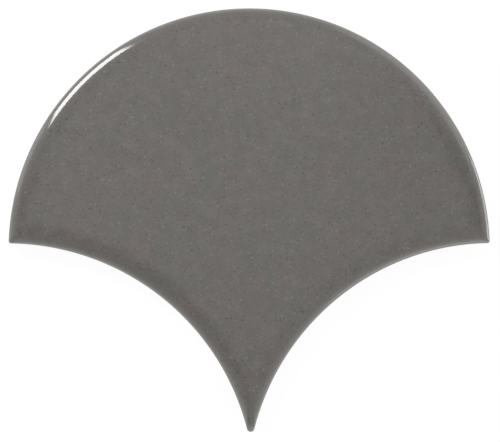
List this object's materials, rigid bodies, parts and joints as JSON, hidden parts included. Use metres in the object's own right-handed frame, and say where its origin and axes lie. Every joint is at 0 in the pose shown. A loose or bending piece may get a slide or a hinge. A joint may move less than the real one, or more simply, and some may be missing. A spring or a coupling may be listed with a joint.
{
  "type": "fish scale tile",
  "caption": "Fan-shaped glazed wall tile: rounded head, concave flanks that nest the heads of neighbouring tiles, pointed tip, rolled edge and a grooved back that keys into adhesive.",
  "frame": {"origin": "centre of the rounded head's arc, on the plane of the tile's back", "axes": "+Z out of the glazed face, +Y from the centre of the head's arc to the crown of the head, -Y to the tip, +X to the right as the glazed face is seen"},
  "size_m": [0.12, 0.1055, 0.008],
  "materials": {
    "glaze": "gloss"
  },
  "bodies": {
    "root": {"fish_scale_tile": "glaze"}
  },
  "joints": []
}
